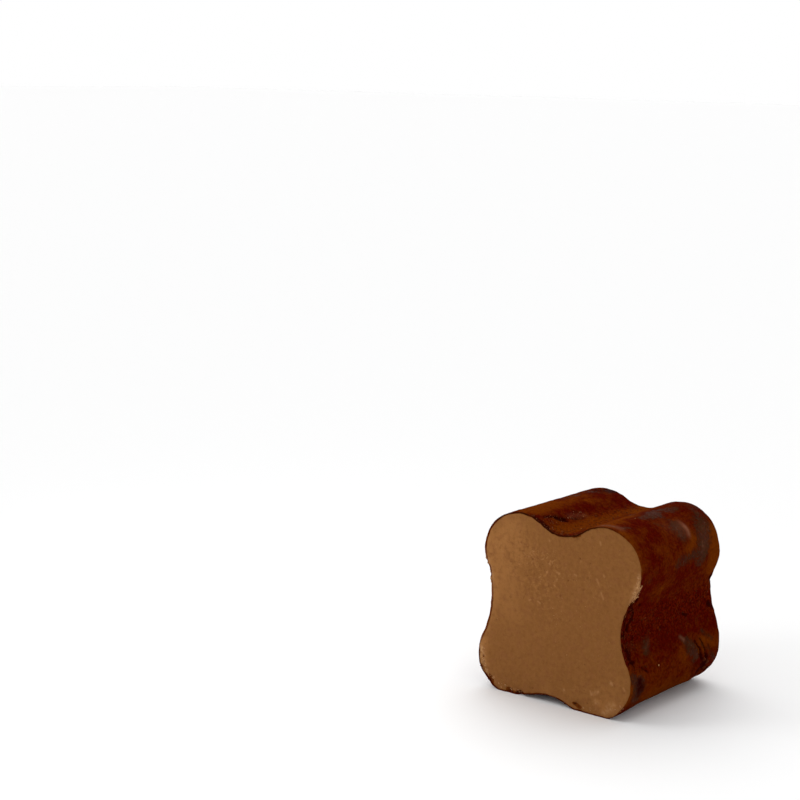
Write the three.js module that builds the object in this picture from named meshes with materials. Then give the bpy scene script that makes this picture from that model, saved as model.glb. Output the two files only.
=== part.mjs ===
// A cut chocolate truffle: a bar of nut cream with four round lobes, in a thin coat of cocoa, cut
// straight across at its near end and softly rounded at its far end.
//
// Millimetres. While the truffle is built, x is measured from its middle, y back from the cut and
// z up from the table. The finished group is then moved so that its origin is on the table, under
// the middle of the whole.

import * as THREE from "three";

// ---- Driving dimensions ----

const barLength = 22.1; // from the cut to the far end
const farEdgeRadius = 1.95; // rounding all round the far end
const farCrown = 0.25; // how far the middle of the far end stands proud of its edge
const coatThickness = 0.35;
const coatGap = 0.05; // clearance between the coat and the filling
const footFlat = 0.22; // how far standing has pressed each lower lobe flat
const footPress = 0.8; // share of its thickness that the coat keeps under the feet

// The cross-section at each end: four lobe circles, counter-clockwise from the upper right, and
// the radii of the hollow arcs that join each lobe to the next: top, left, underneath and right.
const cutSection = {
  lobes: [
    { x: 6.4, z: 19.35, radius: 5.5 },
    { x: -6.15, z: 19.0, radius: 5.65 },
    standingLobe(-7.15, 5.2),
    standingLobe(5.75, 5.25),
  ],
  hollows: [5.1, 11.8, 12.6, 7.95],
};
const farSection = {
  lobes: [
    { x: 5.7, z: 18.25, radius: 5.8 },
    { x: -5.95, z: 18.5, radius: 5.8 },
    standingLobe(-6.3, 4.8),
    standingLobe(6.25, 6.1),
  ],
  hollows: [6.1, 12.2, 11.2, 11.2],
};

// Broad swellings of the whole bar, and narrow marks in the outside of the coat. Each lies along a
// line between two points, fades out over its reach, and is raised, or sunk where it is negative.
const swellings = [
  { from: [8.0, 19.8, 23.4], to: [9.6, 19.8, 22.2], reach: 2.8, raised: 0.45 }, // far shoulder
  { from: [11.8, 20.4, 18.2], to: [11.8, 20.4, 16.8], reach: 1.9, raised: 0.25 }, // far right side
  { from: [11.0, 20.6, 10.8], to: [11.2, 20.6, 9.2], reach: 1.7, raised: 0.35 }, // far right hollow
  { from: [12.1, 20.0, 6.4], to: [11.8, 20.0, 3.6], reach: 2.0, raised: 0.15 }, // far right foot
  { from: [2.7, 0.0, 0.9], to: [2.9, 8.0, 0.9], reach: 2.0, raised: 0.5 }, // near foot, inner side
  { from: [8.5, 0.0, 0.5], to: [8.3, 2.5, 0.5], reach: 1.6, raised: 0.2 }, // near foot, outer side
  { from: [-11.3, 0.0, 2.4], to: [-10.9, 3.0, 1.9], reach: 1.5, raised: 0.3 }, // near left foot
  { from: [-9.6, 0.0, 0.6], to: [-9.4, 3.0, 0.5], reach: 1.8, raised: 0.2 }, // its underside
];
const coatMarks = [
  { from: [9.3, 13.9, 23.2], to: [10.2, 14.1, 22.4], reach: 1.3, raised: 0.3 }, // dome
  { from: [7.6, 16.4, 24.0], to: [10.4, 16.9, 21.8], reach: 0.7, raised: -0.15 }, // behind the dome
  { from: [11.3, 13.6, 8.2], to: [12.0, 16.4, 4.6], reach: 0.6, raised: -0.2 }, // lower far creases
  { from: [11.9, 16.2, 8.4], to: [12.1, 18.2, 5.0], reach: 0.6, raised: -0.2 },
  { from: [11.5, 14.6, 9.2], to: [12.2, 17.2, 6.4], reach: 0.6, raised: 0.2 }, // fold between them
  { from: [10.6, 0.9, 15.6], to: [9.5, 0.9, 12.6], reach: 0.6, raised: -0.2 }, // torn band
  { from: [9.5, 0.9, 12.6], to: [9.8, 1.2, 8.8], reach: 0.6, raised: -0.2 },
  { from: [-2.9, 3.2, 23.5], to: [-2.3, 6.6, 23.2], reach: 0.5, raised: -0.2 }, // slit in the top
];

// Chips out of the edge of the cut: where each is, how far it reaches, and how deep it goes back.
const edgeChips = [
  { x: -11.5, z: 2.6, reach: 0.9, depth: 0.3 },
  { x: -9.6, z: 0.8, reach: 1.0, depth: 0.4 },
  { x: -6.9, z: 0.2, reach: 1.2, depth: 0.45 },
  { x: 2.9, z: 0.6, reach: 0.9, depth: 0.55 },
  { x: 4.7, z: 0.2, reach: 0.9, depth: 0.4 },
  { x: 11.3, z: 16.9, reach: 1.3, depth: 0.35 },
];

// ---- Facets ----

const lobeSteps = 14; // facets round each lobe
const hollowSteps = 10; // facets round each hollow
const outerRows = 15; // rows of facets along the straight part of the coat's outside
const innerRows = 10; // the same for the coat's inside and the filling
const edgeRows = 4; // rows round the far edge
const farRings = [0.8, 0.4]; // rings on the far end, as shares of its outline
const cutRings = [0.4, 0.8, 0.93]; // rings on the cut face, as shares of its outline

// ---- Shape of the cross-section ----

function standingLobe(x, radius) {
  return { x, z: radius - footFlat, radius };
}

// The cross-section at a share of the length, 0 at the cut and 1 at the far end.
function sectionAt(share) {
  const mix = (near, far) => THREE.MathUtils.lerp(near, far, share);
  return {
    lobes: cutSection.lobes.map((lobe, i) => ({
      x: mix(lobe.x, farSection.lobes[i].x),
      z: mix(lobe.z, farSection.lobes[i].z),
      radius: mix(lobe.radius, farSection.lobes[i].radius),
    })),
    hollows: cutSection.hollows.map((radius, i) => mix(radius, farSection.hollows[i])),
  };
}

// The centre of the circle outside the bar that touches both lobes.
function hollowCentre(lobe, nextLobe, radius) {
  const reach = lobe.radius + radius;
  const nextReach = nextLobe.radius + radius;
  const apart = Math.hypot(nextLobe.x - lobe.x, nextLobe.z - lobe.z);
  const towards = { x: (nextLobe.x - lobe.x) / apart, z: (nextLobe.z - lobe.z) / apart };
  const along = (apart ** 2 + reach ** 2 - nextReach ** 2) / (2 * apart);
  const aside = Math.sqrt(reach ** 2 - along ** 2);
  return {
    x: lobe.x + towards.x * along + towards.z * aside,
    z: lobe.z + towards.z * along - towards.x * aside,
  };
}

// Points along an arc from one direction to another, each with the way out of the bar. facing is
// 1 on a lobe, which turns counter-clockwise, and -1 on a hollow. The arc's last point is left to
// the next arc.
function arcPoints(centre, radius, towardsStart, towardsEnd, steps, facing) {
  const start = Math.atan2(towardsStart.z - centre.z, towardsStart.x - centre.x);
  const end = Math.atan2(towardsEnd.z - centre.z, towardsEnd.x - centre.x);
  const sweep = facing * THREE.MathUtils.euclideanModulo(facing * (end - start), 2 * Math.PI);
  return Array.from({ length: steps }, (_, step) => {
    const angle = start + (sweep * step) / steps;
    const out = { x: Math.cos(angle), z: Math.sin(angle) };
    return {
      x: centre.x + radius * out.x,
      z: centre.z + radius * out.z,
      out: { x: facing * out.x, z: facing * out.z },
    };
  });
}

// The outline of a section, moved in by an inset.
function outline(section, inset) {
  const { lobes, hollows } = section;
  const centres = lobes.map((lobe, i) => hollowCentre(lobe, lobes[(i + 1) % 4], hollows[i]));
  return lobes.flatMap((lobe, i) => {
    const before = centres[(i + 3) % 4];
    const after = centres[i];
    const next = lobes[(i + 1) % 4];
    return [
      ...arcPoints(lobe, lobe.radius - inset, before, after, lobeSteps, 1),
      ...arcPoints(after, hollows[i] + inset, lobe, next, hollowSteps, -1),
    ];
  });
}

// ---- Relief ----

function fade(distance, reach) {
  return Math.exp(-((distance / reach) ** 2));
}

// How far a list of marks raises the surface at a point.
function raisedBy(marks, point) {
  return marks.reduce((sum, mark) => {
    const line = new THREE.Line3(new THREE.Vector3(...mark.from), new THREE.Vector3(...mark.to));
    const nearest = line.closestPointToPoint(point, true, new THREE.Vector3());
    return sum + mark.raised * fade(nearest.distanceTo(point), mark.reach);
  }, 0);
}

// How far the chips take the cut back at a place on it.
function chippedBack(x, z) {
  return edgeChips.reduce(
    (sum, chip) => sum + chip.depth * fade(Math.hypot(x - chip.x, z - chip.z), chip.reach),
    0,
  );
}

// ---- Rings of points ----

// One ring of a wall that lies a depth inside the bar's outside. place says where the ring is: y,
// its share of the length, and the inset that rounds the far edge.
function wallRing(place, depth, marks) {
  return outline(sectionAt(place.share), place.inset).map((spot) => {
    const outside = new THREE.Vector3(spot.x + depth * spot.out.x, place.y, spot.z + depth * spot.out.z);
    const raised = raisedBy(marks, outside);
    const x = spot.x + raised * spot.out.x;
    const z = Math.max(spot.z + raised * spot.out.z, footPress * depth);
    const y = place.y === 0 ? chippedBack(x, z) : place.y;
    return new THREE.Vector3(x, y, z);
  });
}

// Where the rings of a wall lie, from the cut to the far end.
function wallPlaces(depth, rows) {
  const straight = barLength - farEdgeRadius;
  const places = [];
  for (let row = 0; row <= rows; row += 1) {
    const y = (straight * row) / rows;
    places.push({ y, share: y / barLength, inset: depth });
  }
  for (let row = 1; row <= edgeRows; row += 1) {
    const turn = ((Math.PI / 2) * row) / edgeRows;
    const y = straight + (farEdgeRadius - depth) * Math.sin(turn);
    const inset = farEdgeRadius - (farEdgeRadius - depth) * Math.cos(turn);
    places.push({ y, share: y / barLength, inset });
  }
  return places;
}

function wall(depth, rows, marks) {
  return wallPlaces(depth, rows).map((place) => wallRing(place, depth, marks));
}

function middleOf(ring) {
  const sum = ring.reduce((total, point) => total.add(point), new THREE.Vector3());
  return sum.divideScalar(ring.length);
}

// Rings that fill a ring's inside, drawn in towards its middle, and last the middle itself. yAt
// gives how far back each point lies, from its share of the outline and its x and z.
function filledIn(ring, shares, yAt) {
  const middle = middleOf(ring);
  return [...shares, 0].map((share) => {
    const points = share === 0 ? [middle] : ring;
    return points.map((point) => {
      const moved = middle.clone().lerp(point, share);
      return moved.setY(yAt(share, moved.x, moved.z));
    });
  });
}

function farEnd(lastRing) {
  const edgeY = lastRing[0].y;
  return filledIn(lastRing, farRings, (share) => edgeY + farCrown * (1 - share ** 2));
}

function cutFace(firstRing) {
  const shares = [...cutRings].reverse();
  return filledIn(firstRing, shares, (share, x, z) => chippedBack(x, z)).reverse();
}

// ---- Closed bodies ----

// A closed body through rings that follow each other. The first and the last ring are one point.
function closedBody(rings) {
  const positions = [];
  const indexed = rings.map((ring) =>
    ring.map((point) => {
      positions.push(point.x, point.y, point.z);
      return positions.length / 3 - 1;
    }),
  );
  const triangles = [];
  for (let i = 0; i + 1 < indexed.length; i += 1) {
    const steps = Math.max(indexed[i].length, indexed[i + 1].length);
    const at = (ring, step) => ring[Math.floor((step * ring.length) / steps) % ring.length];
    for (let step = 0; step < steps; step += 1) {
      const near = [at(indexed[i], step), at(indexed[i], step + 1)];
      const far = [at(indexed[i + 1], step), at(indexed[i + 1], step + 1)];
      if (far[0] !== far[1]) triangles.push(near[0], far[0], far[1]);
      if (near[0] !== near[1]) triangles.push(near[0], far[1], near[1]);
    }
  }
  const geometry = new THREE.BufferGeometry();
  geometry.setAttribute("position", new THREE.Float32BufferAttribute(positions, 3));
  geometry.setIndex(triangles);
  geometry.computeVertexNormals();
  return geometry;
}

function named(name, geometry, material) {
  const mesh = new THREE.Mesh(geometry, material);
  mesh.name = name;
  return mesh;
}

// ---- The filling and its coat ----

function makeFilling() {
  const sides = wall(coatThickness + coatGap, innerRows, swellings);
  const rings = [...cutFace(sides[0]), ...sides, ...farEnd(sides.at(-1))];
  const cream = new THREE.MeshStandardMaterial({ color: 0x8c5f32, roughness: 0.6, metalness: 0 });
  return named("filling", closedBody(rings), cream);
}

// The coat is a deep cup. Its rings start in the middle of its inside, come forward along the
// inner wall, cross the edge at the cut and go back along the outer wall.
function makeCocoaCoat() {
  const inside = wall(coatThickness, innerRows, swellings);
  const outside = wall(0, outerRows, [...swellings, ...coatMarks]);
  const lining = [...inside, ...farEnd(inside.at(-1))].reverse();
  const rings = [...lining, ...outside, ...farEnd(outside.at(-1))];
  const cocoa = new THREE.MeshStandardMaterial({ color: 0x5a2408, roughness: 0.85, metalness: 0 });
  return named("cocoa_coat", closedBody(rings), cocoa);
}

const truffle = new THREE.Group();
truffle.add(makeFilling(), makeCocoaCoat());
const middle = new THREE.Box3().setFromObject(truffle).getCenter(new THREE.Vector3());
truffle.position.set(-middle.x, -middle.y, 0);

export default truffle;
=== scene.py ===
# A cut chocolate truffle: a lobed bar of nut cream in a thin coat of cocoa, the crumbs that the knife
# dragged to its edges and the loose clots of cocoa. Each piece is worked out in millimetres, with x from
# the bar's middle, y back from the cut and z up from the table, and is moved to its place in the frame
# as it is made.

import math

import bpy
import numpy as np
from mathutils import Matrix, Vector


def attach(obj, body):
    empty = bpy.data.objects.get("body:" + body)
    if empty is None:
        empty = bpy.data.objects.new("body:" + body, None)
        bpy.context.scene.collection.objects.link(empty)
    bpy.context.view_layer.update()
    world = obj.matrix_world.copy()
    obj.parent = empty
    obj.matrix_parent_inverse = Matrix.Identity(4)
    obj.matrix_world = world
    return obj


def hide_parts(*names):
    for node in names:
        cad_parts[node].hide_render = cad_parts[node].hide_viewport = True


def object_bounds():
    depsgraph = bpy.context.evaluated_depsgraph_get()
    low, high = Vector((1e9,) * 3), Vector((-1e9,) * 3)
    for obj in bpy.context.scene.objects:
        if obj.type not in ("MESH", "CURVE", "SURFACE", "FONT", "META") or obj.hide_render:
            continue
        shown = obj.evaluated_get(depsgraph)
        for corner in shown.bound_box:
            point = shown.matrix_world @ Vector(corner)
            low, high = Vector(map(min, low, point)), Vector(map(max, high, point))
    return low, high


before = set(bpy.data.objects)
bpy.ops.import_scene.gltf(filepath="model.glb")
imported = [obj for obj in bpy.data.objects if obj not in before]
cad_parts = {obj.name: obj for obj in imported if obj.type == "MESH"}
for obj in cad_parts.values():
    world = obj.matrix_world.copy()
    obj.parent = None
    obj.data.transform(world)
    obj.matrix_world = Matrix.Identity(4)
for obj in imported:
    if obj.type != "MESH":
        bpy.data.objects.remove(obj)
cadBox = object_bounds()
scene = bpy.context.scene
scene.view_settings.view_transform = "Standard"
print("frame loaded")

bar = {
    "length": 22.1,
    "farEdgeRadius": 1.95,
    "farCrown": 0.25,
    "clearance": 0.004,  # how far inside the frame's box the surfaces stay
    "innerEdgeRows": 4,
    "innerShares": (0.66, 0.33),  # rings on the far end of what the coat hides
    # lobes (x, z, radius) from the upper right, counter-clockwise, and the hollow after each one
    "nearLobes": [(6.4, 19.35, 5.5), (-6.15, 19.0, 5.65), (-7.15, 4.98, 5.2), (5.75, 5.03, 5.25)],
    "nearHollows": [5.1, 11.8, 12.6, 7.95],
    "farLobes": [(5.7, 18.25, 5.8), (-5.95, 18.5, 5.8), (-6.3, 4.58, 4.8), (6.25, 5.88, 6.1)],
    "farHollows": [6.1, 12.2, 11.2, 11.2],
    # swellings: from, to, reach, height
    "swellings": [
        ((8, 19.8, 23.4), (9.6, 19.8, 22.2), 2.8, 0.45),
        ((11.8, 20.4, 18.2), (11.8, 20.4, 16.8), 1.9, 0.25),
        ((11, 20.6, 10.8), (11.2, 20.6, 9.2), 1.7, 0.35), ((12.1, 20, 6.4), (11.8, 20, 3.6), 2, 0.15),
        ((2.7, 0, 0.9), (2.9, 8, 0.9), 2, 0.5), ((8.5, 0, 0.5), (8.3, 2.5, 0.5), 1.6, 0.2),
        ((-11.3, 0, 2.4), (-10.9, 3, 1.9), 1.5, 0.3), ((-9.6, 0, 0.6), (-9.4, 3, 0.5), 1.8, 0.2),
    ],
    # crumbly stretches of the edge: from, to, reach, strength
    "crumbly": [
        ((-11.3, 0, 17.2), (-10.6, 0, 14.6), 0.5, 1), ((11.5, 0, 19.4), (11.3, 0, 17.6), 0.4, 0.8),
        ((11.3, 0, 17.6), (10.4, 0, 15.8), 0.6, 1), ((-11.7, 0, 5), (-11.2, 0, 2.4), 0.5, 0.9),
        ((-10.4, 0, 1.4), (-5, 0, 0.4), 0.45, 0.7), ((5, 0, 0.8), (10.2, 0, 1.6), 0.7, 0.5),
        ((-10.4, 0, 12.5), (-11, 0, 8), 0.3, 0.4),
    ],
    # chips out of the edge of the cut: x, z, reach, depth
    "chips": [
        (-11.7, 17.2, 0.4, 0.2), (-11.25, 16.3, 0.45, 0.28), (-10.9, 15.3, 0.4, 0.25),
        (-10.7, 14.3, 0.3, 0.15), (-11.6, 2.6, 0.7, 0.2), (-10.4, 1.2, 0.5, 0.3), (-11.2, 1.6, 0.7, 0.35),
        (-7.3, 0.2, 0.4, 0.3), (-5.6, 0.2, 0.45, 0.4), (2.9, 0.8, 0.4, 0.3), (3.6, 0.5, 0.5, 0.22),
        (11.3, 17.2, 0.7, 0.12), (10.5, 15.7, 0.5, 0.3), (2.4, 22.9, 0.4, 0.35),
    ],
    "chipNoise": (0.5, 0.45, 61, 1),  # height, size, seed, octaves
}
straight = bar["length"] - bar["farEdgeRadius"]


def arc(centre, radius, first, last, steps, facing):
    # From one direction to another round a centre, in even steps; facing is 1 on a lobe, which turns
    # counter-clockwise, and -1 on a hollow. Gives x, z and the way out of the bar at each step.
    start = np.arctan2(first[:, 1] - centre[:, 1], first[:, 0] - centre[:, 0])
    end = np.arctan2(last[:, 1] - centre[:, 1], last[:, 0] - centre[:, 0])
    sweep = facing * np.mod(facing * (end - start), 2 * np.pi)
    angle = start[:, None] + sweep[:, None] * np.arange(steps) / steps
    way = np.stack([np.cos(angle), np.sin(angle)], -1)
    return np.concatenate([centre[:, None] + radius[:, None, None] * way, facing * way], -1)


def outlines(share, inset, steps):
    # Four circles joined by hollow arcs that touch their neighbours. The near and the far section are
    # blended by the share of the length, and an inset shrinks the lobes and widens the hollows. steps
    # holds how many points each lobe and the hollow after it get.
    blend = share[:, None, None]
    lobes = np.array(bar["nearLobes"]) * (1 - blend) + np.array(bar["farLobes"]) * blend
    blend = share[:, None]
    hollows = np.array(bar["nearHollows"]) * (1 - blend) + np.array(bar["farHollows"]) * blend
    centres, radii = lobes[..., :2], lobes[..., 2]
    nextCentres, nextRadii = np.roll(centres, -1, 1), np.roll(radii, -1, 1)
    apart = np.linalg.norm(nextCentres - centres, axis=-1)
    towards = (nextCentres - centres) / apart[..., None]
    reach = radii + hollows
    along = (apart**2 + reach**2 - (nextRadii + hollows) ** 2) / (2 * apart)
    aside = np.sqrt(reach**2 - along**2)
    across = np.stack([towards[..., 1], -towards[..., 0]], -1)
    bends = centres + towards * along[..., None] + across * aside[..., None]
    arcs = []
    for i in range(4):
        lobe, bend, after = centres[:, i], bends[:, i], nextCentres[:, i]
        arcs.append(arc(lobe, radii[:, i] - inset, bends[:, i - 1], bend, steps[i][0], 1))
        arcs.append(arc(bend, hollows[:, i] + inset, lobe, after, steps[i][1], -1))
    return np.concatenate(arcs, 1)


def toLine(points, start, end):
    # Distance from each point to the line between two points.
    start, way = np.array(start, float), np.subtract(end, start)
    share = np.clip((points - start) @ way / max(way @ way, 1e-9), 0, 1)
    return np.linalg.norm(points - start - share[..., None] * way, axis=-1)


def raisedBy(marks, points):
    # The sum of each mark's height times exp(-(distance to its line / reach)^2).
    return sum(height * np.exp(-((toLine(points, a, b) / reach) ** 2)) for a, b, reach, height in marks)


def cloud(points, size, seed):
    # Smooth noise from -1 to 1: random values at the corners of cells of that size, blended along each
    # axis by 3t^2 - 2t^3, where t is the place within the cell.
    cells = 32
    corners = np.random.default_rng(seed).uniform(-1, 1, (cells, cells, cells))
    scaled = points / np.array(size, float)
    cell = np.floor(scaled).astype(int)
    t = scaled - cell
    t = t * t * (3 - 2 * t)
    total = np.zeros(points.shape[:-1])
    for step in np.ndindex(2, 2, 2):
        weight = np.prod(np.where(np.array(step), t, 1 - t), axis=-1)
        i, j, k = np.moveaxis((cell + step) % cells, -1, 0)
        total += weight * corners[i, j, k]
    return total


def clouds(points, size, seed, octaves):
    # Noise with finer noise on it, each half as high and half as wide as the one before.
    layers = [cloud(points, np.array(size) / 2**i, seed + i) / 2**i for i in range(octaves)]
    return sum(layers) / sum(0.5**i for i in range(octaves))


def layered(layer, points):
    # Noise as the dictionaries list it: height, size, seed, octaves.
    height, *noise = layer
    return height * clouds(points, *noise)


def smooth(low, high, value):
    # 0 up to low, 1 from high on, and 3t^2 - 2t^3 between them.
    t = np.clip((value - low) / (high - low), 0, 1)
    return t * t * (3 - 2 * t)


def chippedBack(points):
    # How far the chips take the edge of the cut back: the sum of each one's depth times
    # exp(-(distance / reach)^2), made uneven by noise.
    x, z = points[..., 0], points[..., 2]
    back = np.zeros_like(x)
    for chipX, chipZ, reach, depth in bar["chips"]:
        back += depth * np.exp(-((x - chipX) ** 2 + (z - chipZ) ** 2) / reach**2)
    return back * (1 + layered(bar["chipNoise"], points))


coatEdge = {
    "thickness": 0.13,
    "leastThickness": 0.03,
    "thinnerRight": 0.07,
    "rightFrom": (8.8, 10.8),
    "thickerLeft": 0.09,
    "leftFrom": (-8.0, -10.5),
    # stretches that are thicker or thinner: from, to, reach, by how much
    "stretches": [
        ((-6.5, 0, 24.6), (-1.5, 0, 22.4), 1.4, 0.07), ((-1.5, 0, 22.3), (4, 0, 24), 0.9, 0.05),
        ((-12, 0, 5.6), (-11.2, 0, 2.2), 0.9, -0.19), ((-11.2, 0, 2.2), (-10.8, 0, 1.4), 0.5, -0.15),
        ((-2, 0, 2), (8.6, 0, 0.4), 1.2, -0.06),
    ],
    "unevenness": (0.04, 0.6, 51, 1),
    "stretchNoise": (0.9, 0.5, 55, 1),
}


def rimThickness(rim):
    # The coat's thickness where the cut shows it: even, but less on the right and more on the left,
    # with the listed stretches added. Noise makes both uneven.
    x = rim[:, 0]
    even = coatEdge["thickness"] - coatEdge["thinnerRight"] * smooth(*coatEdge["rightFrom"], x)
    even += coatEdge["thickerLeft"] * smooth(*coatEdge["leftFrom"], x)
    even += layered(coatEdge["unevenness"], rim)
    stretches = raisedBy(coatEdge["stretches"], rim) * (1 + layered(coatEdge["stretchNoise"], rim))
    return np.maximum(even + stretches, coatEdge["leastThickness"])[:, None]


def walls(y, depth, steps, edgeRows):
    # The outlines at each y, one behind the other, and then edgeRows more that roll the far edge
    # inwards through a quarter turn. depth is how far inside the bar's outside each wall lies.
    turn = np.linspace(0, np.pi / 2, edgeRows + 1)[1:]
    roll = bar["farEdgeRadius"] - depth
    rowY = np.concatenate([y, straight + roll * np.sin(turn)])
    inset = np.concatenate([np.full(len(y), depth), bar["farEdgeRadius"] - roll * np.cos(turn)])
    ring = outlines(rowY / bar["length"], inset, steps)
    back = np.broadcast_to(rowY[:, None], ring.shape[:2])
    spots = np.stack([ring[..., 0], back, ring[..., 1]], -1)
    out = np.stack([ring[..., 2], np.zeros_like(back), ring[..., 3]], -1)
    raised = raisedBy(bar["swellings"], spots + depth * out)
    return spots + raised[..., None] * out, out


def farEnd(ring, shares):
    # Rings drawn in from the far edge to its middle, standing proud by the crown times 1 - share^2.
    middle = ring.mean(0)
    share = np.array(shares)[:, None, None]
    rings = middle + (ring - middle) * share
    rings[..., 1] += bar["farCrown"] * (1 - share[..., 0] ** 2)
    return rings


def wayOut(grid):
    # The way out of the bar at each point of a grid of rings: along the bar crossed with round it.
    roundIt = np.roll(grid, -1, 1) - np.roll(grid, 1, 1)
    out = np.cross(np.gradient(grid, axis=0), roundIt)
    return out / np.maximum(np.linalg.norm(out, axis=-1, keepdims=True), 1e-12)


# In the frame, the plain bar's middle is at x = 0 and the cut is at the near side of the frame's box.
plain, _ = walls(np.linspace(0, straight, 16), 0.0, [(14, 10)] * 4, 4)
middle = (plain[..., 0].min() + plain[..., 0].max()) / 2
toFrame = np.array([-middle, cadBox[0].y * 1000, 0])
boxLow = np.array(cadBox[0]) * 1000 - toFrame
boxHigh = np.array(cadBox[1]) * 1000 - toFrame


def newPiece(name, points, faces, material, attributes=None, replaced=None):
    # A mesh set in the frame, in metres, with values at its points for the material to read.
    mesh = bpy.data.meshes.new(name)
    mesh.from_pydata((points + toFrame) / 1000, [], faces)
    mesh.polygons.foreach_set("use_smooth", np.ones(len(mesh.polygons), bool))
    for key, values in (attributes or {}).items():
        attribute = mesh.attributes.new(key, "FLOAT", "POINT")
        attribute.data.foreach_set("value", np.asarray(values, np.float32).ravel())
    mesh.materials.append(material)
    piece = bpy.data.objects.new(name, mesh)
    scene.collection.objects.link(piece)
    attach(piece, "root")
    if replaced:
        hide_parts(replaced)
    print(name, len(faces), "faces")


def ringFaces(ringCount, steps):
    # Four-sided faces between each ring and the next, and a fan to the single point at each end. The
    # first point and the last one are those ends.
    ring = 1 + np.arange(ringCount)[:, None] * steps + np.arange(steps)[None, :]
    turned = np.roll(ring, -1, 1)
    quads = np.stack([ring[:-1], ring[1:], turned[1:], turned[:-1]], -1).reshape(-1, 4)
    last = 1 + ringCount * steps
    first = np.stack([np.zeros(steps, int), ring[0], turned[0]], -1)
    final = np.stack([np.full(steps, last), turned[-1], ring[-1]], -1)
    return quads.tolist() + first.tolist() + final.tolist()


def ringPiece(name, rings, masks, material, node):
    # A closed piece that takes a node's place: the rings and the middles of the first and the last one,
    # with each mask's values at their points.
    points = np.concatenate([rings[0].mean(0)[None], rings.reshape(-1, 3), rings[-1].mean(0)[None]])
    attributes = {key: np.r_[mask[0, :1], mask.ravel(), mask[-1, :1]] for key, mask in masks.items()}
    faces = ringFaces(len(rings), rings.shape[1])
    newPiece(name, points, faces, material, attributes, node)


class Shader:
    # A material's nodes. Patterns are in millimetres, on Object coordinates.
    def __init__(self, name):
        self.material = bpy.data.materials.new(name)
        self.material.use_nodes = True
        self.tree = self.material.node_tree
        self.skin = self.tree.nodes["Principled BSDF"]
        place = self.node("ShaderNodeTexCoord")
        self.place = self.node("ShaderNodeMapping")
        self.place.inputs["Scale"].default_value = (1000, 1000, 1000)
        self.join(place.outputs["Object"], self.place.inputs["Vector"])

    def node(self, kind, **settings):
        made = self.tree.nodes.new(kind)
        for key, value in settings.items():
            setattr(made, key, value)
        return made

    def join(self, source, target):
        if isinstance(source, bpy.types.NodeSocket):
            self.tree.links.new(source, target)
        else:
            target.default_value = source

    def noise(self, size, detail, rough, stretch=(1, 1, 1), turn=0):
        # Noise whose blobs are about size millimetres wide, drawn out by stretch along each axis and
        # turned by so many degrees in the plane of the cut.
        place = self.node("ShaderNodeMapping", vector_type="TEXTURE")
        place.inputs["Scale"].default_value = stretch
        place.inputs["Rotation"].default_value = (0, math.radians(turn), 0)
        self.join(self.place.outputs[0], place.inputs["Vector"])
        made = self.node("ShaderNodeTexNoise")
        made.inputs["Scale"].default_value = 1 / size
        made.inputs["Detail"].default_value = detail
        made.inputs["Roughness"].default_value = rough
        self.join(place.outputs[0], made.inputs["Vector"])
        return made.outputs[0]

    def dots(self, size):
        # Distance to the nearest of scattered points, in shares of their spacing.
        made = self.node("ShaderNodeTexVoronoi")
        made.inputs["Scale"].default_value = 1 / size
        self.join(self.place.outputs[0], made.inputs["Vector"])
        return made.outputs["Distance"]

    def attribute(self, key):
        return self.node("ShaderNodeAttribute", attribute_name=key).outputs["Fac"]

    def between(self, value, low, high, fromValue=0.0, toValue=1.0, shape="SMOOTHSTEP"):
        # Goes from one value to another while the given one goes from low to high.
        made = self.node("ShaderNodeMapRange", clamp=True, interpolation_type=shape)
        numbers = (low, high, fromValue, toValue)
        for key, number in zip(("From Min", "From Max", "To Min", "To Max"), numbers):
            made.inputs[key].default_value = number
        self.join(value, made.inputs["Value"])
        return made.outputs[0]

    def patches(self, size, detail, rough, *fade):
        # Noise faded from 0 to 1, or as between() is told, while it goes from one value to another.
        return self.between(self.noise(size, detail, rough), *fade)

    def plus(self, a, b, operation="ADD"):
        made = self.node("ShaderNodeMath", operation=operation)
        self.join(a, made.inputs[0])
        self.join(b, made.inputs[1])
        return made.outputs[0]

    def times(self, a, b):
        return self.plus(a, b, "MULTIPLY")

    def mix(self, share, a, b):
        made = self.node("ShaderNodeMix", data_type="RGBA")
        for socket, value in zip((made.inputs[0], made.inputs[6], made.inputs[7]), (share, a, b)):
            if isinstance(value, tuple):
                value = (*value, 1.0)
            self.join(value, socket)
        return made.outputs[2]

    def cover(self, colour, share, *others):
        # Lays a colour over what is there, as far as the product of the shares says.
        for other in others:
            share = self.times(share, other)
        self.colour = self.mix(share, self.colour, colour)

    def surface(self, roughness, gloss, bumps):
        # Sets the skin, with bumps on bumps: height in millimetres, strength, and the noise.
        self.join(self.colour, self.skin.inputs["Base Color"])
        self.join(roughness, self.skin.inputs["Roughness"])
        self.skin.inputs["Specular IOR Level"].default_value = gloss
        under = None
        for height, strength, *noise in bumps:
            made = self.node("ShaderNodeBump")
            made.inputs["Strength"].default_value = strength
            made.inputs["Distance"].default_value = height / 1000
            self.join(self.noise(*noise), made.inputs["Height"])
            if under:
                self.join(under, made.inputs["Normal"])
            under = made.outputs[0]
        self.join(under, self.skin.inputs["Normal"])
        return self.material


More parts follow.
